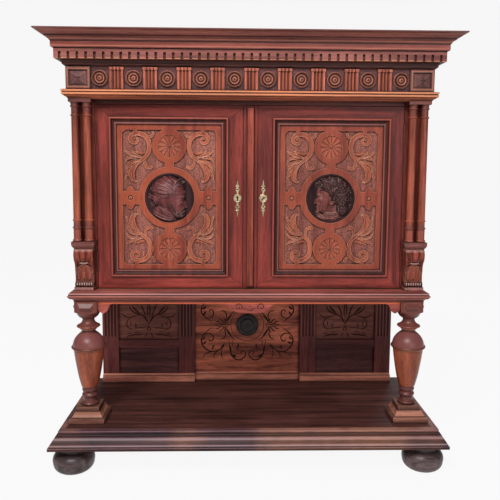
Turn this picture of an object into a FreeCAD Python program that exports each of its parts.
import FreeCAD, Part
import math
import os

from FreeCAD import Vector

# A carved cupboard with two doors on an open lower stage, in millimetres.
# X runs to the right, Y to the wall behind and Z up. The origin is on the floor, under the middle.

# Overall plan
CASE_WIDTH = 1260.0  # frieze, over its plain faces
CASE_SETBACK = 109.0  # frieze face behind the foremost edge of the base
BASE_DEPTH = 560.0  # foremost edge of the base to the wall
SHELF_MARGIN = 21.0  # open shelf beyond the plinths of the balusters
DOOR_STAGE_HEIGHT = 669.0  # top of the waist to the underside of the architrave
FRIEZE_HEIGHT = 73.0

# Mouldings, from the bottom edge to the top edge: (reach, height, bow of the curve that arrives here)
BASE_PROFILE = [(31, 0), (31, 10), (27, 10), (27, 13), (9, 40, 1.5), (9, 43), (5, 43), (0, 51, -2), (0, 60)]
WAIST_PROFILE = [(-5, 0), (-5, 3), (3, 12, -1.5), (11, 19, 1.5), (11, 20.5), (13.5, 20.5), (13.5, 25),
                 (9.5, 26), (9.5, 27.5), (4, 36, 3), (0, 37.5), (-6, 41, 1)]
ARCHITRAVE_PROFILE = [(-2, 0), (6.5, 7, -1.5), (11, 10.5, -1), (11, 11.5), (13.5, 12), (14.5, 20.5, 0.8),
                      (12, 21), (12, 22.5), (16, 23), (16, 29, 1.5), (13, 30), (3, 32)]
DENTIL_PROFILE = [(0, 0), (1.5, 2), (8, 7.5, 1), (11, 8), (11, 11), (24, 22, -4), (32, 24), (32, 59)]
CROWN_PROFILE = [(38, 0), (40, 3), (40, 21), (43, 22), (44, 25), (55, 33, -2), (55, 36), (57, 37),
                 (70, 45, 1.5), (83, 51.5, -1.5), (85, 52), (85, 56)]
BASE_MOULDING_BACK = 20.0  # wood behind the moulded face
WAIST_MOULDING_BACK = 12.0
ENTABLATURE_BACK = 24.0

# Dentils: slots cut up from the lower edge of the dentil band
DENTIL_PITCH = 29.5  # nearest even spacing is used on the front
DENTIL_CORNER = 20.0  # last slot of the front in from the corner
DENTIL_SLOT_WIDTH = 9.0
DENTIL_SLOT_HEIGHT = 22.0
DENTIL_SLOT_DEPTH = 9.0
DENTIL_FOOT = 24.0  # lower edge of the dentils above the frieze

# Frieze ornament
TRIGLYPH_COUNT = 9
TRIGLYPH_WIDTH = 46.0
TRIGLYPH_DEPTH = 8.0
TRIGLYPH_FLUTES = 3
TRIGLYPH_FLUTE_RADIUS = 5.0
TRIGLYPH_CAP_HEIGHT = 9.0
TRIGLYPH_CAP_LIP = 2.0
TRIGLYPH_CAP_DEPTH = 10.0
ROSETTE_TURNING = [(27, 0), (27, 5), (22, 5, 3), (20.5, 2.5), (19, 2.5), (19, 5), (13, 5, 2.5), (12, 2.5),
                   (8, 2.5), (6.5, 5), (2.5, 8, 1), (0, 8)]
ROSETTE_MARGIN = 3.85  # outermost rosettes clear of the corner blocks
CORNER_BLOCK_WIDTH = 83.0
CORNER_BLOCK_DEPTH = 9.0
CORNER_BLOCK_RIM = 10.0
CORNER_BLOCK_SINK = 5.0
PYRAMID_HEIGHT = 12.0
PYRAMID_MARGIN = 2.5
PYRAMID_TIP = 3.0

# Base and feet
SHELF_BOARD = 24.0
FOOT_TURNING = [(44, 0), (72, 31, 8), (52, 71, 9), (46, 76, -1), (46, 85), (56, 87), (56, 97)]
FOOT_INSET = 1.0  # foot inside the edge of the base
FOOT_BLOCK = 120.0

# Balusters, from the plinth to the square block: (height, radius, bow)
BALUSTER_TURNING = [(0, 36), (12, 36, 5), (13, 30), (22, 24, -3), (24, 28), (32, 28, 4), (33, 25),
                    (43, 25, -1), (44, 29), (53, 29, 4.5), (54, 30), (117, 46.5, 3), (193, 56.5, 1.5),
                    (198, 57.5), (216, 57, 6),
                    (218, 55.5), (263, 26, 7.5), (266, 24.5), (269, 25), (279, 39, -1), (283, 39, 2.4),
                    (297, 25, -2), (310, 22.5, -1), (330, 39, -4)]
BALUSTER_INSET = 46.0  # axis inside the frieze end
BALUSTER_SETBACK = 42.0  # axis behind the frieze face
BLOCK_SIDE = 80.0
BLOCK_HEIGHT = 48.0
BLOCK_TENON_SHOULDER = 14.0
BOSS_WIDTH = 64.0
BOSS_HEIGHT = 42.0
BOSS_RIDGE = 28.0
BOSS_DEPTH = 10.0
BOSS_EDGE = 2.0
PLINTH_SIDE = 128.0
PLINTH_STEP = 23.0
PLINTH_BEVEL_SIDE = 110.0
PLINTH_BEVEL_TOP = 92.0
PLINTH_BEVEL = 18.0
PLINTH_TOP_SIDE = 83.0
PLINTH_TOP = 21.0

# Front and side aprons under the waist
APRON_THICKNESS = 20.0
APRON_DROP = 8.0  # straight lower edge under the waist moulding
APRON_SIDE_THICKNESS = 20.0
APRON_CENTRE_WIDTH = 194.0
APRON_CENTRE_DROP = 33.0
APRON_CENTRE_SWELL = 4.0
APRON_CENTRE_SWEEP = 5.0
APRON_BRACKET_WIDTH = 52.0
APRON_BRACKET_DROP = 32.0
APRON_BRACKET_SWELL = 3.0
APRON_BRACKET_ROUND = 2.0

# Lower back
PILASTER_WIDTH = 68.0
PILASTER_THICKNESS = 36.0
PILASTER_INNER_X = 226.0  # inner edge of the inner pilaster
PILASTER_FLUTES = 4
PILASTER_FLUTE_RADIUS = 5.5
PILASTER_FLUTE_FOOT = 200.0  # lower end of the flutes above the shelf
PILASTER_FLUTE_SINK = 1.5
BACK_PANEL_THICKNESS = 14.0
BACK_PANEL_SINK = 10.0
BACK_RAIL_FOOT = 145.0
BACK_RAIL_HEIGHT = 35.0
BACK_RAIL_THICKNESS = 24.0
BACK_RAIL_SINK = 2.0
LOWER_PANEL_SINK = 13.0
CENTRE_PANEL_THICKNESS = 12.0
CENTRE_PANEL_SINK = 22.0
CENTRE_BOSS_HEIGHT = 241.0  # centre of the boss above the shelf
CENTRE_BOSS_TURNING = [(47, 0), (47, 6), (40, 9, 1.5), (34, 8), (30, 12), (22, 18, 3), (12, 18),
                       (4, 22.5, 1.5), (0, 22.5)]
SKIRTING_HEIGHT = 34.0
SKIRTING_THICKNESS = 12.0
SKIRTING_BEVEL = 10.0

# Cupboard carcass
BOTTOM_THICKNESS = 24.0
POST_WIDTH = 73.0
POST_DEPTH = 55.0
POST_INSET = 10.0  # outer face of the post inside the frieze end
REAR_POST_DEPTH = 40.0
DOOR_SETBACK = 45.0  # door face behind the frieze face
HEADER_DROP = 13.0  # header rail below the architrave
HEADER_DEPTH = 46.0
SIDE_PANEL_THICKNESS = 18.0
SIDE_PANEL_INSET = 6.0
CASE_BACK_THICKNESS = 12.0
CASE_BACK_INSET = 4.0
CASE_TOP_THICKNESS = 18.0
TOP_BOARD_THICKNESS = 18.0
INNER_SHELF_THICKNESS = 20.0
INNER_SHELF_HOUSING = 6.0
INNER_SHELF_HEIGHT = 322.0  # underside above the case bottom
INNER_SHELF_SETBACK = 6.0  # front edge behind the posts

# Twin columns and what carries them
COLUMN_INSET = 42.0  # middle of the pair inside the frieze end
COLUMN_PITCH = 40.0
COLUMN_SETBACK = 18.0  # axis behind the frieze face
COLUMN_FOOT = [(0, 15), (9, 15, 2.5), (10, 14.5), (46, 14.5), (47, 15.5), (52, 15.5, 1.8), (53, 14),
               (72, 14), (73, 15), (78, 15, 1.8), (79, 14)]
COLUMN_HEAD = [(0, 12.8), (2, 14.5), (7, 14.5, 1.8), (8, 12.8), (31, 12.8), (32, 14.5), (38, 14.5, 1.8),
               (39, 14), (49, 16.5, -1)]
ABACUS_WIDTH = 77.0
ABACUS_HEIGHT = 11.0
ABACUS_OVERHANG = 0.5
CORBEL_WIDTH = 66.0
CORBEL_FOOT_WIDTH = 67.0
CORBEL_FOOT_HEIGHT = 13.0
CORBEL_FOOT_DEPTH = 42.0
CORBEL_PROFILE = [(30, 0), (30, 15, 2), (25, 17), (27, 60, -3), (38, 92, -4), (44, 104, 2), (44, 126, 3),
                  (38, 134, 2), (38, 140)]
IMPOST_WIDTH = 80.0
IMPOST_HEIGHT = 12.0
IMPOST_DEPTH = 45.5
IMPOST_COVE = 10.0
IMPOST_COVE_STEP = 5.0

# Doors
DOOR_THICKNESS = 24.0
DOOR_GAP = 2.0
MEETING_X = 12.5  # middle of the joint between the doors
MEETING_STILE_X = 88.5  # inner edge of the meeting stiles from the middle of the case
HINGE_STILE = 57.5
DOOR_RAIL = 52.5
PANEL_THICKNESS = 16.0
PANEL_SINK = 4.0  # face of the panel's border behind the door face
PANEL_TONGUE = 8.0
PANEL_TONGUE_THICKNESS = 8.0
PANEL_PLAY = 0.3
PANEL_BORDER = 19.0
PANEL_GROUND_SINK = 6.0
RING_OUTER = 110.5
RING_INNER = 88.0
RING_RISE = 5.0
RING_BITE = 5.5  # small rings run this far into the border
SMALL_RING_OUTER = 62.0
SMALL_RING_INNER = 41.0
SMALL_ROSETTE = 35.0
NECK_WIDTH = 30.0
MEDALLION_RISE = 3.0
STRAP_OVERLAP = 5.0  # straps run this far into the rings
SIDE_KNOB_RADIUS = 20.0
DOOR_MOULDING_WIDTH = 25.0
DOOR_MOULDING_LAP = 10.0
DOOR_MOULDING_PROFILE = [(0, 7), (8, 7, -3), (9, 5), (18, 0.5, 1.5), (19, 1.5), (25, 0.5, -1.5)]
ASTRAGAL_WIDTH = 23.0
ASTRAGAL_DEPTH = 9.0
ASTRAGAL_ROUND = 3.0
ASTRAGAL_SHORT = 9.0
QUIRK_X = 26.0
QUIRK_WIDTH = 3.0
QUIRK_DEPTH = 3.0

# Locks, bolts and hinges
KEYHOLE_X = 46.0
ESCUTCHEON_THICKNESS = 2.5
ESCUTCHEON_LENGTH = 134.0
ESCUTCHEON_DISC = 15.5
ESCUTCHEON_RING_Z = 30.0
ESCUTCHEON_RING = 8.0
ESCUTCHEON_RING_HOLE = 4.0
ESCUTCHEON_BAR = 6.0
ESCUTCHEON_CROSS_Z = 21.0
ESCUTCHEON_CROSS = 22.0
ESCUTCHEON_CROSS_HEIGHT = 4.0
ESCUTCHEON_SPEAR = 16.0
ESCUTCHEON_SPEAR_Z = 44.0
KEYHOLE_RADIUS = 3.2
KEYHOLE_SLOT = 2.4
KEYHOLE_DROP = 9.0
KEYHOLE_TURN = 45.0
LOCK_WIDTH = 84.0
LOCK_HEIGHT = 80.0
LOCK_DEPTH = 15.0
LOCK_EDGE = 3.5  # lock case inside the meeting edge
LOCK_BOLT_LENGTH = 50.0
LOCK_BOLT_HEIGHT = 16.0
LOCK_BOLT_DEPTH = 7.0
LOCK_BOLT_SETBACK = 4.0
LOCK_BOLT_TRAVEL = 18.0
SLIDE_PLAY = 0.4
KEEPER_EDGE = 3.0
KEEPER_HEIGHT = 34.0
KEEPER_PLAY = 1.0
KEEPER_WALL = 4.0
BOLT_X = 62.0
BOLT_RADIUS = 4.0
BOLT_LENGTH = 130.0
BOLT_SETBACK = 8.0
BOLT_END_GAP = 1.0
BOLT_TRAVEL = 12.0
BOLT_SOCKET_PLAY = 0.6
BOLT_KNOB_RADIUS = 4.0
BOLT_KNOB_LENGTH = 10.0
GUIDE_WIDTH = 22.0
GUIDE_HEIGHT = 12.0
GUIDE_DEPTH = 14.0
GUIDE_INSET = 14.0  # guides in from the ends of the bolt
HINGE_LENGTH = 72.0
HINGE_OFFSET = 100.0  # middle of the hinge in from the end of the door
KNUCKLE_RADIUS = 3.6
KNUCKLE_ROOM = 0.5
KNUCKLE_END_GAP = 0.3
HINGE_PIN_RADIUS = 1.8
HINGE_PIN_PLAY = 0.05
LEAF_THICKNESS = 2.0
LEAF_WIDTH = 20.0

# Heights of the stages, one on the other
base_height = BASE_PROFILE[-1][1]
waist_height = WAIST_PROFILE[-1][1]
architrave_height = ARCHITRAVE_PROFILE[-1][1]
dentil_height = DENTIL_PROFILE[-1][1]
crown_height = CROWN_PROFILE[-1][1]
plinth_height = PLINTH_STEP + PLINTH_BEVEL + PLINTH_TOP
turning_height = BALUSTER_TURNING[-1][0]
base_z = FOOT_TURNING[-1][1]
shelf_z = base_z + base_height
block_z = shelf_z + plinth_height + turning_height
waist_z = block_z + BLOCK_HEIGHT
case_z = waist_z + waist_height
architrave_z = case_z + DOOR_STAGE_HEIGHT
frieze_z = architrave_z + architrave_height
dentil_z = frieze_z + FRIEZE_HEIGHT
crown_z = dentil_z + dentil_height
top_z = crown_z + crown_height

# Planes that several pieces share
half_case = CASE_WIDTH / 2
baluster_x = half_case - BALUSTER_INSET
half_shelf = baluster_x + PLINTH_SIDE / 2 + SHELF_MARGIN
column_x = half_case - COLUMN_INSET
wall_y = BASE_DEPTH / 2
front_y = CASE_SETBACK - BASE_DEPTH / 2
base_reach = max(step[0] for step in BASE_PROFILE)
base_front_y = base_reach - BASE_DEPTH / 2
door_y = front_y + DOOR_SETBACK
door_back_y = door_y + DOOR_THICKNESS
post_outer_x = half_case - POST_INSET
post_inner_x = post_outer_x - POST_WIDTH
post_back_y = door_y + POST_DEPTH
rear_post_y = wall_y - REAR_POST_DEPTH
header_z = architrave_z - HEADER_DROP
header_back_y = door_y + HEADER_DEPTH
case_bottom_z = case_z - BOTTOM_THICKNESS
waist_back_y = front_y + WAIST_MOULDING_BACK
apron_back_y = waist_back_y + APRON_THICKNESS
case_inner_x = half_case - WAIST_MOULDING_BACK
baluster_y = front_y + BALUSTER_SETBACK
pilaster_y = wall_y - PILASTER_THICKNESS
pilaster_outer_x = case_inner_x
bay_inner_x = PILASTER_INNER_X + PILASTER_WIDTH
bay_outer_x = pilaster_outer_x - PILASTER_WIDTH
side_panel_x = post_outer_x - SIDE_PANEL_INSET
case_back_y = wall_y - CASE_BACK_INSET - CASE_BACK_THICKNESS
door_foot_z = case_z + DOOR_GAP
door_head_z = header_z - DOOR_GAP
door_mid_z = (door_foot_z + door_head_z) / 2
left_edge_x = MEETING_X - DOOR_GAP / 2
right_edge_x = MEETING_X + DOOR_GAP / 2
door_edge_x = post_inner_x - DOOR_GAP
opening_half_x = (door_edge_x - HINGE_STILE - MEETING_STILE_X) / 2
opening_half_z = (door_head_z - door_foot_z) / 2 - DOOR_RAIL
panel_x = MEETING_STILE_X + opening_half_x
panel_half_x = opening_half_x - DOOR_MOULDING_WIDTH + DOOR_MOULDING_LAP
panel_half_z = opening_half_z - DOOR_MOULDING_WIDTH + DOOR_MOULDING_LAP
ground_half_x = panel_half_x - PANEL_BORDER
ground_half_z = panel_half_z - PANEL_BORDER
small_ring_z = ground_half_z + RING_BITE - SMALL_RING_OUTER
side_knob_x = (RING_OUTER + ground_half_x) / 2
panel_y = door_y + PANEL_SINK
hinge_x = (door_edge_x + post_inner_x) / 2
hinge_levels = [door_foot_z + HINGE_OFFSET, door_head_z - HINGE_OFFSET]
lock_right_x = left_edge_x - LOCK_EDGE
lock_bolt_y = door_back_y + LOCK_BOLT_SETBACK
bolt_y = door_back_y + BOLT_SETBACK
column_y = front_y + COLUMN_SETBACK

os.makedirs("parts", exist_ok=True)


def save(node, solids):
    if len(solids) == 1:
        shape = solids[0]
    else:
        shape = Part.makeCompound(solids)
    shape.exportStep("parts/" + node + ".step")


def box(x0, x1, y0, y1, z0, z1):
    return Part.makeBox(x1 - x0, y1 - y0, z1 - z0, Vector(x0, y0, z0))


def mirrored(solid):
    return solid.mirror(Vector(0, 0, 0), Vector(1, 0, 0))


def pair(solid):
    return [solid, mirrored(solid)]


def fused(solids):
    first = solids[0]
    return first.multiFuse(solids[1:]).removeSplitter().Solids[0]


def cut(solid, tools):
    return solid.cut(Part.makeCompound(tools)).Solids[0]


def cylinder(radius, length, foot, axis):
    return Part.makeCylinder(radius, length, foot, axis)


# A closed face from a list of corners; a third number bows the edge that arrives at that corner.
def drawn_face(corners, place):
    edges = []
    loop = corners + [corners[0][:2]]
    for here, there in zip(loop, loop[1:]):
        start = place(here[0], here[1])
        end = place(there[0], there[1])
        if len(there) == 2:
            edges.append(Part.makeLine(start, end))
            continue
        run = there[0] - here[0]
        rise = there[1] - here[1]
        span = math.hypot(run, rise)
        middle = place((here[0] + there[0]) / 2 + there[2] * rise / span,
                       (here[1] + there[1]) / 2 - there[2] * run / span)
        edges.append(Part.Arc(start, middle, end).toShape())
    return Part.Face(Part.Wire(edges))


# A piece turned on a lathe about an upright axis; the list gives radius and height.
def turned(steps, x, y, z):
    corners = [(0, steps[0][1])] + steps
    if steps[-1][0] > 0:
        corners = corners + [(0, steps[-1][1])]
    face = drawn_face(corners, lambda r, h: Vector(x + r, y, z + h))
    return face.revolve(Vector(x, y, z), Vector(0, 0, 1), 360)


# A turned button that faces the front, with its axis along Y.
def turned_button(steps, x, y, z):
    corners = [(0, steps[0][1])] + steps
    face = drawn_face(corners, lambda r, h: Vector(x + r, y - h, z))
    return face.revolve(Vector(x, y, z), Vector(0, 1, 0), 360)


def swapped(steps):
    return [(step[1], step[0]) + tuple(step[2:]) for step in steps]


# A block with sloping sides between a lower and an upper rectangle.
def hipped(lower, upper, z0, z1):
    wires = []
    for (x0, x1, y0, y1), z in ((lower, z0), (upper, z1)):
        corners = [Vector(x0, y0, z), Vector(x1, y0, z), Vector(x1, y1, z), Vector(x0, y1, z)]
        wires.append(Part.makePolygon(corners + corners[:1]))
    return Part.makeLoft(wires, True, True)


# A four-sided boss on a face that looks towards the front.
def front_boss(x, y, z, width, height, ridge_x, ridge_z, depth):
    base = (-width / 2, width / 2, -height / 2, height / 2)
    crest = (-ridge_x / 2, ridge_x / 2, -ridge_z / 2, ridge_z / 2)
    boss = hipped(base, crest, 0, depth)
    boss.rotate(Vector(0, 0, 0), Vector(1, 0, 0), 90)
    boss.translate(Vector(x, y, z))
    return boss


def flat(corners, z0, z1):
    face = Part.Face(Part.makePolygon([Vector(x, y, z0) for x, y in corners + corners[:1]]))
    return face.extrude(Vector(0, 0, z1 - z0))


# Mouldings round the front and sides of a plan, mitred at the front corners.
def moulding_section(profile, back):
    return [(-back, profile[0][1])] + profile + [(-back, profile[-1][1])]


def front_moulding(profile, back, half, front, z):
    reach = max(step[0] for step in profile)
    section = moulding_section(profile, back)
    far = half + reach
    bar = drawn_face(section, lambda p, h: Vector(-far, front - p, z + h)).extrude(Vector(2 * far, 0, 0))
    near = half - back
    plan = [(-near, front + back), (near, front + back), (far, front - reach), (-far, front - reach)]
    return bar.common(flat(plan, z, z + profile[-1][1])).Solids[0]


def side_moulding(profile, back, half, front, z):
    reach = max(step[0] for step in profile)
    section = moulding_section(profile, back)
    far = half + reach
    near = half - back
    tip = front - reach
    bar = drawn_face(section, lambda p, h: Vector(half + p, tip, z + h)).extrude(Vector(0, wall_y - tip, 0))
    plan = [(near, front + back), (near, wall_y), (far, wall_y), (far, tip)]
    return bar.common(flat(plan, z, z + profile[-1][1])).Solids[0]


# Bun feet under the corners of the base, dowelled into blocks under the shelf.
def make_feet():
    radius = max(step[0] for step in FOOT_TURNING)
    x = half_shelf + base_reach - FOOT_INSET - radius
    y = wall_y - FOOT_INSET - radius
    feet = []
    blocks = []
    inner_x = half_shelf - BASE_MOULDING_BACK
    inner_y = base_front_y + BASE_MOULDING_BACK
    for sign in (-1, 1):
        feet.extend(pair(turned(FOOT_TURNING, x, sign * y, 0)))
    for y0 in (inner_y, wall_y - FOOT_BLOCK):
        block = box(inner_x - FOOT_BLOCK, inner_x, y0, y0 + FOOT_BLOCK, base_z, shelf_z - SHELF_BOARD)
        blocks.extend(pair(block))
    save("feet", feet)
    save("foot_blocks", blocks)


# Low open shelf with a mitred moulding round its front and sides.
def make_base():
    back = BASE_MOULDING_BACK
    save("base_front", [front_moulding(BASE_PROFILE, back, half_shelf, base_front_y, base_z)])
    save("base_returns", pair(side_moulding(BASE_PROFILE, back, half_shelf, base_front_y, base_z)))
    x = half_shelf - back
    save("shelf_board", [box(-x, x, base_front_y + back, wall_y, shelf_z - SHELF_BOARD, shelf_z)])


def square(side):
    return (-side / 2, side / 2, -side / 2, side / 2)


# Turned balusters with a square head, each on a stepped plinth.
def make_balusters():
    half = BLOCK_SIDE / 2
    x, y = baluster_x, baluster_y
    turning = turned(swapped(BALUSTER_TURNING), x, y, shelf_z + plinth_height)
    block = box(x - half, x + half, y - half, y + half, block_z, waist_z)
    neck = half - BLOCK_TENON_SHOULDER
    tenon = box(x - neck, x + neck, y - neck, y + neck, waist_z, case_bottom_z)
    middle = block_z + BLOCK_HEIGHT / 2
    front = front_boss(x, y - half, middle, BOSS_WIDTH, BOSS_HEIGHT, BOSS_RIDGE, BOSS_EDGE, BOSS_DEPTH)
    side = front_boss(x, y - half, middle, BOSS_WIDTH, BOSS_HEIGHT, BOSS_RIDGE, BOSS_EDGE, BOSS_DEPTH)
    side.rotate(Vector(x, y, 0), Vector(0, 0, 1), 90)
    save("balusters", pair(fused([turning, block, tenon, front, side])))
    z1 = shelf_z + PLINTH_STEP
    z2 = z1 + PLINTH_BEVEL
    step = hipped(square(PLINTH_SIDE), square(PLINTH_SIDE), shelf_z, z1)
    bevel = hipped(square(PLINTH_BEVEL_SIDE), square(PLINTH_BEVEL_TOP), z1, z2)
    head = hipped(square(PLINTH_TOP_SIDE), square(PLINTH_TOP_SIDE), z2, z2 + PLINTH_TOP)
    plinth = fused([step, bevel, head])
    plinth.translate(Vector(x, y, 0))
    save("baluster_plinths", pair(plinth))


# Shaped front rail behind the waist moulding, and plain side rails under the case bottom.
def make_aprons():
    x = baluster_x - BLOCK_SIDE / 2
    edge = waist_z - APRON_DROP
    centre = APRON_CENTRE_WIDTH / 2
    bracket = x - APRON_BRACKET_WIDTH
    low = waist_z - APRON_BRACKET_DROP - APRON_DROP
    drop = edge - APRON_CENTRE_DROP
    third = APRON_CENTRE_WIDTH / 6
    step = APRON_BRACKET_WIDTH / 4
    swell = APRON_BRACKET_SWELL
    outline = [(0, drop), (third / 2, drop), (third * 2, drop + APRON_CENTRE_DROP / 3, APRON_CENTRE_SWELL),
               (centre, edge, -APRON_CENTRE_SWEEP), (bracket, edge), (bracket + step, edge - step, -swell),
               (x - 2 * step, low, swell), (x - step, low, swell), (x, low + step, APRON_BRACKET_ROUND),
               (x, case_bottom_z), (case_inner_x, case_bottom_z), (case_inner_x, case_z), (0, case_z)]
    face = drawn_face(outline, lambda a, h: Vector(a, waist_back_y, h))
    save("front_apron", [fused(pair(face.extrude(Vector(0, APRON_THICKNESS, 0))))])
    side_x = case_inner_x - APRON_SIDE_THICKNESS
    y = baluster_y + BLOCK_SIDE / 2
    save("side_aprons", pair(box(side_x, case_inner_x, y, pilaster_y, edge, case_bottom_z)))


# Panelled back of the open stage: fluted pilasters, carved and plain panels, centre bay with a boss.
def make_lower_back():
    top = case_bottom_z
    pilasters = []
    pitch = PILASTER_WIDTH / (PILASTER_FLUTES + 1)
    flute_y = pilaster_y - PILASTER_FLUTE_SINK
    flute_z = shelf_z + PILASTER_FLUTE_FOOT
    for left in (PILASTER_INNER_X, bay_outer_x):
        body = box(left, left + PILASTER_WIDTH, pilaster_y, wall_y, shelf_z, top)
        flutes = []
        for index in range(PILASTER_FLUTES):
            foot = Vector(left + pitch * (index + 1), flute_y, flute_z)
            flutes.append(cylinder(PILASTER_FLUTE_RADIUS, top - flute_z, foot, Vector(0, 0, 1)))
            flutes.append(Part.makeSphere(PILASTER_FLUTE_RADIUS, foot))
        pilasters.extend(pair(cut(body, flutes)))
    save("back_pilasters", pilasters)
    rail_z = shelf_z + BACK_RAIL_FOOT
    panel_z = rail_z + BACK_RAIL_HEIGHT
    y = pilaster_y + BACK_PANEL_SINK
    save("carved_back_panels", pair(box(bay_inner_x, bay_outer_x, y, y + BACK_PANEL_THICKNESS, panel_z, top)))
    y = pilaster_y + BACK_RAIL_SINK
    save("back_rails", pair(box(bay_inner_x, bay_outer_x, y, y + BACK_RAIL_THICKNESS, rail_z, panel_z)))
    y = pilaster_y + LOWER_PANEL_SINK
    lower = box(bay_inner_x, bay_outer_x, y, y + BACK_PANEL_THICKNESS, shelf_z, rail_z)
    save("lower_back_panels", pair(lower))
    y = pilaster_y + CENTRE_PANEL_SINK
    x = PILASTER_INNER_X
    save("centre_back_panel", [box(-x, x, y, y + CENTRE_PANEL_THICKNESS, shelf_z, top)])
    save("centre_boss", [turned_button(CENTRE_BOSS_TURNING, 0, y, shelf_z + CENTRE_BOSS_HEIGHT)])
    save("back_skirting", [skirting(-x, x, y)] + pair(skirting(x, pilaster_outer_x, pilaster_y)))


def skirting(x0, x1, back_y):
    front = back_y - SKIRTING_THICKNESS
    shoulder = shelf_z + SKIRTING_HEIGHT - SKIRTING_BEVEL
    head = shelf_z + SKIRTING_HEIGHT
    section = [(front, shelf_z), (front, shoulder), (back_y, head), (back_y, shelf_z)]
    return drawn_face(section, lambda y, h: Vector(x0, y, h)).extrude(Vector(x1 - x0, 0, 0))


# Waist moulding and the boards, posts and panels of the cupboard.
def make_case():
    back = WAIST_MOULDING_BACK
    save("waist_front", [front_moulding(WAIST_PROFILE, back, half_case, front_y, waist_z)])
    save("waist_returns", pair(side_moulding(WAIST_PROFILE, back, half_case, front_y, waist_z)))
    bottom = box(-case_inner_x, case_inner_x, apron_back_y, wall_y, case_bottom_z, case_z)
    socket_depth = BOLT_TRAVEL + DOOR_GAP
    radius = BOLT_RADIUS + BOLT_SOCKET_PLAY
    low = cylinder(radius, socket_depth, Vector(BOLT_X, bolt_y, case_z), Vector(0, 0, -1))
    save("case_bottom", [cut(bottom, [low])])
    header = box(-post_inner_x, post_inner_x, door_y, header_back_y, header_z, frieze_z)
    high = cylinder(radius, socket_depth, Vector(BOLT_X, bolt_y, header_z), Vector(0, 0, 1))
    save("header_rail", [cut(header, [high])])
    post = box(post_inner_x, post_outer_x, door_y, post_back_y, case_z, architrave_z)
    save("corner_posts", pair(cut(post, hinge_room(1) + post_mortises())))
    board = top_z - TOP_BOARD_THICKNESS
    rear = box(post_inner_x, post_outer_x, rear_post_y, wall_y, case_z, architrave_z)
    horn = box(post_inner_x, half_case - DOOR_SETBACK, case_back_y, wall_y, architrave_z, frieze_z)
    head = box(post_inner_x, half_case - ENTABLATURE_BACK, case_back_y, wall_y, frieze_z, board)
    save("rear_posts", pair(fused([rear, horn, head])))
    shelf_z0 = case_z + INNER_SHELF_HEIGHT
    inner_x = side_panel_x - SIDE_PANEL_THICKNESS
    shelf_x = inner_x + INNER_SHELF_HOUSING
    shelf_y = post_back_y + INNER_SHELF_SETBACK
    shelf = box(-shelf_x, shelf_x, shelf_y, rear_post_y, shelf_z0, shelf_z0 + INNER_SHELF_THICKNESS)
    panel = box(inner_x, side_panel_x, post_back_y, rear_post_y, case_z, architrave_z)
    save("side_panels", pair(cut(panel, [shelf])))
    save("inner_shelf", [shelf])
    back_y = case_back_y + CASE_BACK_THICKNESS
    save("case_back", [box(-post_inner_x, post_inner_x, case_back_y, back_y, case_z, board)])
    x = half_case - DOOR_SETBACK
    case_top_z = architrave_z + CASE_TOP_THICKNESS
    save("case_top", [box(-x, x, header_back_y, case_back_y, architrave_z, case_top_z)])
    x = half_case - ENTABLATURE_BACK
    save("top_board", [box(-x, x, front_y + ENTABLATURE_BACK, wall_y, board, top_z)])


# Twin colonnettes before each corner post, on an impost carried by a scrolled corbel.
def make_columns():
    corbel_z = case_z + CORBEL_FOOT_HEIGHT
    impost_z = corbel_z + CORBEL_PROFILE[-1][1]
    column_z = impost_z + IMPOST_COVE + IMPOST_HEIGHT
    abacus_z = architrave_z - ABACUS_HEIGHT
    x = column_x
    head_z = abacus_z - COLUMN_HEAD[-1][0] - column_z
    steps = swapped(COLUMN_FOOT + [(step[0] + head_z,) + tuple(step[1:]) for step in COLUMN_HEAD])
    columns = []
    for side in (-1, 1):
        columns.extend(pair(turned(steps, x + side * COLUMN_PITCH / 2, column_y, column_z)))
    save("columns", columns)
    half = ABACUS_WIDTH / 2
    save("abaci", pair(box(x - half, x + half, front_y - ABACUS_OVERHANG, door_y, abacus_z, architrave_z)))
    half = IMPOST_WIDTH / 2
    step = IMPOST_COVE_STEP
    front = door_y - IMPOST_DEPTH
    cove_z = impost_z + IMPOST_COVE
    slab = box(x - half, x + half, front, door_y, cove_z, column_z)
    foot = (x - half + step, x + half - step, front + step, door_y)
    cove = hipped(foot, (x - half, x + half, front, door_y), impost_z, cove_z)
    save("imposts", pair(fused([slab, cove])))
    half = CORBEL_WIDTH / 2
    section = [(0, 0)] + CORBEL_PROFILE + [(0, CORBEL_PROFILE[-1][1])]
    face = drawn_face(section, lambda q, h: Vector(x - half, door_y - q, corbel_z + h))
    body = face.extrude(Vector(CORBEL_WIDTH, 0, 0))
    half = CORBEL_FOOT_WIDTH / 2
    foot = box(x - half, x + half, door_y - CORBEL_FOOT_DEPTH, door_y, case_z, corbel_z)
    save("corbels", pair(fused([body, foot])))


# Slots between the dentils of the front band, set out from the middle.
def front_dentil_slots(reach):
    z0 = dentil_z + DENTIL_FOOT
    z1 = z0 + DENTIL_SLOT_HEIGHT
    half = DENTIL_SLOT_WIDTH / 2
    last = half_case + reach - DENTIL_CORNER
    count = round(last / DENTIL_PITCH)
    slots = []
    for index in range(-count, count + 1):
        x = index * last / count
        slots.append(box(x - half, x + half, front_y - reach, front_y - reach + DENTIL_SLOT_DEPTH, z0, z1))
    return slots


def side_dentil_slots(reach):
    z0 = dentil_z + DENTIL_FOOT
    z1 = z0 + DENTIL_SLOT_HEIGHT
    outer = half_case + reach
    first = front_y - reach + DENTIL_PITCH
    count = int((wall_y - first) / DENTIL_PITCH)
    slots = []
    for index in range(count):
        y = first + index * DENTIL_PITCH
        slots.append(box(outer - DENTIL_SLOT_DEPTH, outer, y, y + DENTIL_SLOT_WIDTH, z0, z1))
    return slots


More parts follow.
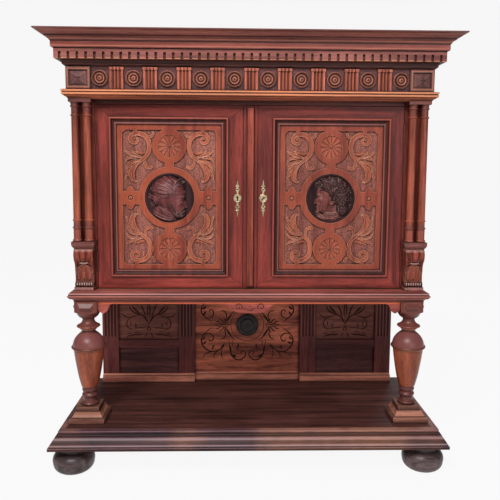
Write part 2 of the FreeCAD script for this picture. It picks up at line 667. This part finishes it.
# Architrave, frieze boards, dentil band and crown moulding.
def make_entablature():
    back = DOOR_SETBACK
    profile = ARCHITRAVE_PROFILE
    save("architrave_front", [front_moulding(profile, back, half_case, front_y, architrave_z)])
    save("architrave_returns", pair(side_moulding(profile, back, half_case, front_y, architrave_z)))
    back = ENTABLATURE_BACK
    front = box(-half_case, half_case, front_y, front_y + back, frieze_z, dentil_z)
    side = box(half_case - back, half_case, front_y + back, wall_y, frieze_z, dentil_z)
    save("frieze_boards", [front] + pair(side))
    reach = max(step[0] for step in DENTIL_PROFILE)
    band = front_moulding(DENTIL_PROFILE, back, half_case, front_y, dentil_z)
    save("dentil_front", [cut(band, front_dentil_slots(reach))])
    band = side_moulding(DENTIL_PROFILE, back, half_case, front_y, dentil_z)
    save("dentil_returns", pair(cut(band, side_dentil_slots(reach))))
    save("crown_front", [front_moulding(CROWN_PROFILE, back, half_case, front_y, crown_z)])
    save("crown_returns", pair(side_moulding(CROWN_PROFILE, back, half_case, front_y, crown_z)))


def triglyph(x):
    half = TRIGLYPH_WIDTH / 2
    cap_z = dentil_z - TRIGLYPH_CAP_HEIGHT
    face_y = front_y - TRIGLYPH_DEPTH
    body = box(x - half, x + half, face_y, front_y, frieze_z, cap_z)
    wide = half + TRIGLYPH_CAP_LIP
    cap = box(x - wide, x + wide, front_y - TRIGLYPH_CAP_DEPTH, front_y, cap_z, dentil_z)
    pitch = TRIGLYPH_WIDTH / (TRIGLYPH_FLUTES + 1)
    flutes = []
    for index in range(TRIGLYPH_FLUTES):
        foot = Vector(x - half + pitch * (index + 1), face_y, frieze_z)
        flutes.append(cylinder(TRIGLYPH_FLUTE_RADIUS, cap_z - frieze_z, foot, Vector(0, 0, 1)))
    return fused([cut(body, flutes), cap])


# A framed square with a low pyramid, at each end of the frieze.
def corner_block():
    x0 = half_case - CORNER_BLOCK_WIDTH
    face_y = front_y - CORNER_BLOCK_DEPTH
    plate = box(x0, half_case, face_y, front_y, frieze_z, dentil_z)
    rim = CORNER_BLOCK_RIM
    field = box(x0 + rim, half_case - rim, face_y, face_y + CORNER_BLOCK_SINK, frieze_z + rim, dentil_z - rim)
    width = CORNER_BLOCK_WIDTH - 2 * rim - 2 * PYRAMID_MARGIN
    height = FRIEZE_HEIGHT - 2 * rim - 2 * PYRAMID_MARGIN
    middle_x = half_case - CORNER_BLOCK_WIDTH / 2
    middle_z = frieze_z + FRIEZE_HEIGHT / 2
    field_y = face_y + CORNER_BLOCK_SINK
    pyramid = front_boss(middle_x, field_y, middle_z, width, height, PYRAMID_TIP, PYRAMID_TIP, PYRAMID_HEIGHT)
    return fused([cut(plate, [field]), pyramid])


# Triglyphs and turned rosettes alternate along the frieze.
def make_frieze_ornament():
    radius = max(step[0] for step in ROSETTE_TURNING)
    end = half_case - CORNER_BLOCK_WIDTH - ROSETTE_MARGIN - radius
    pitch = 2 * end / TRIGLYPH_COUNT
    save("triglyphs", [triglyph(pitch * (index + 0.5) - end) for index in range(TRIGLYPH_COUNT)])
    middle_z = frieze_z + FRIEZE_HEIGHT / 2
    rosettes = []
    for index in range(TRIGLYPH_COUNT + 1):
        rosettes.append(turned_button(ROSETTE_TURNING, pitch * index - end, front_y, middle_z))
    save("rosettes", rosettes)
    save("corner_blocks", pair(corner_block()))


# Room for the hinge knuckles along the joint between a door and its post.
def hinge_room(side):
    radius = KNUCKLE_RADIUS + KNUCKLE_ROOM
    length = HINGE_LENGTH + 2 * KNUCKLE_ROOM
    return [cylinder(radius, length, Vector(side * hinge_x, door_y, z - length / 2), Vector(0, 0, 1))
            for z in hinge_levels]


def post_leaf(z):
    return box(post_inner_x, post_inner_x + LEAF_THICKNESS, door_y, door_y + LEAF_WIDTH, z - HINGE_LENGTH / 2,
               z + HINGE_LENGTH / 2)


def post_mortises():
    return [post_leaf(z) for z in hinge_levels]


def door_leaf(z):
    return box(door_edge_x - LEAF_THICKNESS, door_edge_x, door_y, door_y + LEAF_WIDTH, z - HINGE_LENGTH / 2,
               z + HINGE_LENGTH / 2)


def upright(radius, z0, z1):
    return cylinder(radius, z1 - z0, Vector(hinge_x, door_y, z0), Vector(0, 0, 1))


# Butt hinges: the post leaf has the two outer knuckles and the pin, the door leaf has the middle one.
def make_hinges():
    fixed = []
    moving = []
    third = HINGE_LENGTH / 6
    for z in hinge_levels:
        low, high = z - HINGE_LENGTH / 2, z + HINGE_LENGTH / 2
        below, above = z - third - KNUCKLE_END_GAP, z + third + KNUCKLE_END_GAP
        room = [upright(KNUCKLE_RADIUS + KNUCKLE_ROOM, below, above)]
        plate = cut(post_leaf(z), room)
        knuckles = [upright(KNUCKLE_RADIUS, low, below), upright(KNUCKLE_RADIUS, above, high)]
        fixed.append(fused([plate, upright(HINGE_PIN_RADIUS, low, high)] + knuckles))
        room = [upright(KNUCKLE_RADIUS + KNUCKLE_ROOM, low, z - third),
                upright(KNUCKLE_RADIUS + KNUCKLE_ROOM, z + third, high)]
        plate = cut(door_leaf(z), room)
        body = fused([plate, upright(KNUCKLE_RADIUS, z - third, z + third)])
        moving.append(cut(body, [upright(HINGE_PIN_RADIUS + HINGE_PIN_PLAY, low, high)]))
    save("post_hinge_leaves", fixed + [mirrored(leaf) for leaf in fixed])
    save("right_hinge_leaves", moving)
    save("left_hinge_leaves", [mirrored(leaf) for leaf in moving])


# One door frame: two stiles with two rails between them, grooved for the panel.
def door_frame(side, meeting_x):
    middle = side * panel_x
    inner = middle - side * opening_half_x
    outer = middle + side * opening_half_x
    y0, y1 = door_y, door_back_y
    z0, z1 = door_foot_z, door_head_z
    low, high = door_mid_z - opening_half_z, door_mid_z + opening_half_z
    hinge_edge = side * door_edge_x
    hinge_stile = box(min(outer, hinge_edge), max(outer, hinge_edge), y0, y1, z0, z1)
    meeting_stile = box(min(inner, meeting_x), max(inner, meeting_x), y0, y1, z0, z1)
    left, right = min(inner, outer), max(inner, outer)
    rails = [box(left, right, y0, y1, z0, low), box(left, right, y0, y1, high, z1)]
    groove = tongue(middle, PANEL_PLAY)
    leaves = [door_leaf(z) for z in hinge_levels]
    if side < 0:
        leaves = [mirrored(leaf) for leaf in leaves]
    hinge_stile = cut(hinge_stile, [groove] + hinge_room(side) + leaves)
    return [hinge_stile, meeting_stile.cut(groove).Solids[0]] + [cut(rail, [groove]) for rail in rails]


def tongue(middle, play):
    x = opening_half_x + PANEL_TONGUE + play
    z = opening_half_z + PANEL_TONGUE + play
    y = panel_y + PANEL_THICKNESS / 2
    half = PANEL_TONGUE_THICKNESS / 2 + play
    return box(middle - x, middle + x, y - half, y + half, door_mid_z - z, door_mid_z + z)


def disc(x, y, z, radius, depth):
    return cylinder(radius, depth, Vector(x, y, z), Vector(0, -1, 0))


def ring(x, y, z, outer, inner, depth):
    return cut(disc(x, y, z, outer, depth), [disc(x, y, z, inner, depth)])


# Panel with a flat border, a sunk ground and a strapwork of rings about a round medallion.
def door_panel(side):
    x = side * panel_x
    z = door_mid_z
    wide = opening_half_x - PANEL_PLAY
    tall = opening_half_z - PANEL_PLAY
    body = box(x - wide, x + wide, panel_y, panel_y + PANEL_THICKNESS, z - tall, z + tall)
    half = ground_half_x
    ground_y = panel_y + PANEL_GROUND_SINK
    sunk = box(x - half, x + half, panel_y, ground_y, z - ground_half_z, z + ground_half_z)
    board = fused([cut(body, [sunk]), tongue(x, 0)])
    relief = [ring(x, ground_y, z, RING_OUTER, RING_INNER, RING_RISE)]
    relief.append(disc(x, ground_y, z, RING_INNER, MEDALLION_RISE))
    neck = NECK_WIDTH / 2
    for sign in (-1, 1):
        level = z + sign * small_ring_z
        relief.append(ring(x, ground_y, level, SMALL_RING_OUTER, SMALL_RING_INNER, RING_RISE))
        relief.append(disc(x, ground_y, level, SMALL_ROSETTE, RING_RISE))
        near = RING_OUTER - STRAP_OVERLAP
        far = small_ring_z - SMALL_RING_OUTER + STRAP_OVERLAP
        low, top = sorted((z + sign * near, z + sign * far))
        relief.append(box(x - neck, x + neck, ground_y - RING_RISE, ground_y, low, top))
        relief.append(disc(x + sign * side_knob_x, ground_y, z, SIDE_KNOB_RADIUS, RING_RISE))
        low, top = sorted((x + sign * (RING_OUTER - STRAP_OVERLAP), x + sign * half))
        relief.append(box(low, top, ground_y - RING_RISE, ground_y, z - neck / 2, z + neck / 2))
    return fused([board] + relief)


# Raised moulding mitred round the panel, half on the frame and half on the panel.
def door_moulding(side):
    x, z = side * panel_x, door_mid_z
    half_x = panel_half_x + DOOR_MOULDING_WIDTH
    half_z = panel_half_z + DOOR_MOULDING_WIDTH
    lap = DOOR_MOULDING_LAP
    width = DOOR_MOULDING_WIDTH
    rebate = [(width, -PANEL_SINK), (lap + PANEL_PLAY, -PANEL_SINK), (lap + PANEL_PLAY, 0)]
    section = [(0, 0)] + DOOR_MOULDING_PROFILE + rebate
    upright_bar = drawn_face(section, lambda u, h: Vector(x - half_x + u, door_y - h, z - half_z))
    upright_bar = upright_bar.extrude(Vector(0, 0, 2 * half_z))
    plan = [(x - half_x, z - half_z), (x - half_x + width, z - half_z + width),
            (x - half_x + width, z + half_z - width), (x - half_x, z + half_z)]
    left = upright_bar.common(standing(plan)).Solids[0]
    level_bar = drawn_face(section, lambda u, h: Vector(x - half_x, door_y - h, z - half_z + u))
    level_bar = level_bar.extrude(Vector(2 * half_x, 0, 0))
    plan = [(x - half_x, z - half_z), (x - half_x + width, z - half_z + width),
            (x + half_x - width, z - half_z + width), (x + half_x, z - half_z)]
    low = level_bar.common(standing(plan)).Solids[0]
    right = left.mirror(Vector(x, 0, z), Vector(1, 0, 0))
    high = low.mirror(Vector(x, 0, z), Vector(0, 0, 1))
    return [left, right, low, high]


def standing(plan):
    depth = DOOR_THICKNESS
    corners = [Vector(x, door_y - depth, z) for x, z in plan + plan[:1]]
    return Part.Face(Part.makePolygon(corners)).extrude(Vector(0, 2 * depth, 0))


# Meeting bead planted on the left door along the joint.
def make_astragal():
    x1 = left_edge_x
    x0 = x1 - ASTRAGAL_WIDTH
    face_y = door_y - ASTRAGAL_DEPTH
    bead = box(x0, x1, face_y, door_y, door_foot_z + ASTRAGAL_SHORT, door_head_z - ASTRAGAL_SHORT)
    uprights = [edge for edge in bead.Edges if edge.BoundBox.ZLength > ASTRAGAL_WIDTH]
    face_edges = [edge for edge in uprights if edge.BoundBox.YMax < door_y - ASTRAGAL_DEPTH / 2]
    save("astragal", [bead.makeFillet(ASTRAGAL_ROUND, face_edges)])


# Narrow sunk lines beside the meeting bead, one on each door.
def quirk(x):
    half = QUIRK_WIDTH / 2
    return box(x - half, x + half, door_y, door_y + QUIRK_DEPTH, door_foot_z, door_head_z)


def keyhole(x, y, z, depth, turn):
    hole = disc(x, y + depth, z, KEYHOLE_RADIUS, 2 * depth)
    slot = box(x - KEYHOLE_SLOT / 2, x + KEYHOLE_SLOT / 2, y - depth, y + depth, z - KEYHOLE_DROP, z)
    shape = hole.fuse(slot)
    shape.rotate(Vector(x, y, z), Vector(0, 1, 0), turn)
    return shape


# Pierced brass plate: a disc with the keyhole, and above and below it a cross bar, a ring and a spear.
def escutcheon(x, turn):
    z = door_mid_z
    depth = ESCUTCHEON_THICKNESS
    tall = ESCUTCHEON_LENGTH / 2
    half = ESCUTCHEON_BAR / 2
    plates = [disc(x, door_y, z, ESCUTCHEON_DISC, depth)]
    holes = [keyhole(x, door_y, z, depth, turn)]
    for sign in (-1, 1):
        near, far = sorted((z, z + sign * ESCUTCHEON_SPEAR_Z))
        plates.append(box(x - half, x + half, door_y - depth, door_y, near, far))
        cross = z + sign * ESCUTCHEON_CROSS_Z
        wide = ESCUTCHEON_CROSS / 2
        thick = ESCUTCHEON_CROSS_HEIGHT / 2
        plates.append(box(x - wide, x + wide, door_y - depth, door_y, cross - thick, cross + thick))
        eye = z + sign * ESCUTCHEON_RING_Z
        plates.append(disc(x, door_y, eye, ESCUTCHEON_RING, depth))
        holes.append(disc(x, door_y, eye, ESCUTCHEON_RING_HOLE, depth))
        spear = ESCUTCHEON_SPEAR / 2
        foot = sign * (ESCUTCHEON_SPEAR_Z - spear)
        corners = [(x, z + foot), (x + spear, z + foot + sign * spear), (x, z + sign * tall),
                   (x - spear, z + foot + sign * spear)]
        points = [Vector(a, door_y - depth, b) for a, b in corners + corners[:1]]
        plates.append(Part.Face(Part.makePolygon(points)).extrude(Vector(0, depth, 0)))
    return cut(fused(plates), holes)


# Lock on the back of the left door with a sliding bolt, and its keeper on the right door.
def make_lock():
    z = door_mid_z
    x1 = lock_right_x
    half = LOCK_HEIGHT / 2
    case = box(x1 - LOCK_WIDTH, x1, door_back_y, door_back_y + LOCK_DEPTH, z - half, z + half)
    y1 = lock_bolt_y + LOCK_BOLT_DEPTH
    tall = LOCK_BOLT_HEIGHT / 2
    play = SLIDE_PLAY
    start = x1 - LOCK_BOLT_LENGTH
    way = box(start - play, x1, lock_bolt_y - play, y1 + play, z - tall - play, z + tall + play)
    hole = disc(-KEYHOLE_X, door_back_y + LOCK_BOLT_SETBACK, z, KEYHOLE_RADIUS, LOCK_BOLT_SETBACK)
    save("lock_case", [cut(case, [way, hole])])
    save("lock_bolt", [box(start, x1, lock_bolt_y, y1, z - tall, z + tall)])
    x0 = right_edge_x + KEEPER_EDGE
    room = KEEPER_PLAY
    keeper_y = y1 + room + KEEPER_WALL
    mouth_x = x1 + LOCK_BOLT_TRAVEL + room
    half = KEEPER_HEIGHT / 2
    staple = box(x0, mouth_x + KEEPER_WALL, door_back_y, keeper_y, z - half, z + half)
    mouth = box(x0, mouth_x, lock_bolt_y - room, y1 + room, z - tall - room, z + tall + room)
    save("lock_keeper", [cut(staple, [mouth])])


# Round slide bolts at the head and foot of the right door, each in two guides.
def make_bolts():
    guides = []
    for sign, end in ((1, door_head_z - BOLT_END_GAP), (-1, door_foot_z + BOLT_END_GAP)):
        axis = Vector(0, 0, -sign)
        rod = cylinder(BOLT_RADIUS, BOLT_LENGTH, Vector(BOLT_X, bolt_y, end), axis)
        middle = end - sign * BOLT_LENGTH / 2
        reach = BOLT_KNOB_LENGTH + BOLT_RADIUS
        knob = cylinder(BOLT_KNOB_RADIUS, reach, Vector(BOLT_X, bolt_y, middle), Vector(0, 1, 0))
        save("top_bolt" if sign > 0 else "bottom_bolt", [fused([rod, knob])])
        bore = cylinder(BOLT_RADIUS + SLIDE_PLAY, BOLT_LENGTH, Vector(BOLT_X, bolt_y, end), axis)
        half = GUIDE_WIDTH / 2
        for along in (GUIDE_INSET, BOLT_LENGTH - GUIDE_INSET):
            z = end - sign * along
            low, high = z - GUIDE_HEIGHT / 2, z + GUIDE_HEIGHT / 2
            block = box(BOLT_X - half, BOLT_X + half, door_back_y, door_back_y + GUIDE_DEPTH, low, high)
            guides.append(cut(block, [bore]))
    save("bolt_guides", guides)


# Both doors with their panels, mouldings and key plates.
def make_doors():
    left = door_frame(-1, left_edge_x)
    shaft = disc(-KEYHOLE_X, door_back_y, door_mid_z, KEYHOLE_RADIUS, DOOR_THICKNESS)
    left[1] = cut(left[1], [quirk(-QUIRK_X), shaft])
    save("door_left_frame", left)
    right = door_frame(1, right_edge_x)
    right[1] = cut(right[1], [quirk(QUIRK_X)])
    save("door_right_frame", right)
    save("door_left_panel", [door_panel(-1)])
    save("door_right_panel", [door_panel(1)])
    save("door_left_moulding", door_moulding(-1))
    save("door_right_moulding", door_moulding(1))
    save("escutcheon_left", [escutcheon(-KEYHOLE_X, 0)])
    save("escutcheon_right", [escutcheon(KEYHOLE_X, KEYHOLE_TURN)])


make_feet()
make_base()
make_balusters()
make_aprons()
make_lower_back()
make_case()
make_columns()
make_entablature()
make_frieze_ornament()
make_hinges()
make_doors()
make_astragal()
make_lock()
make_bolts()
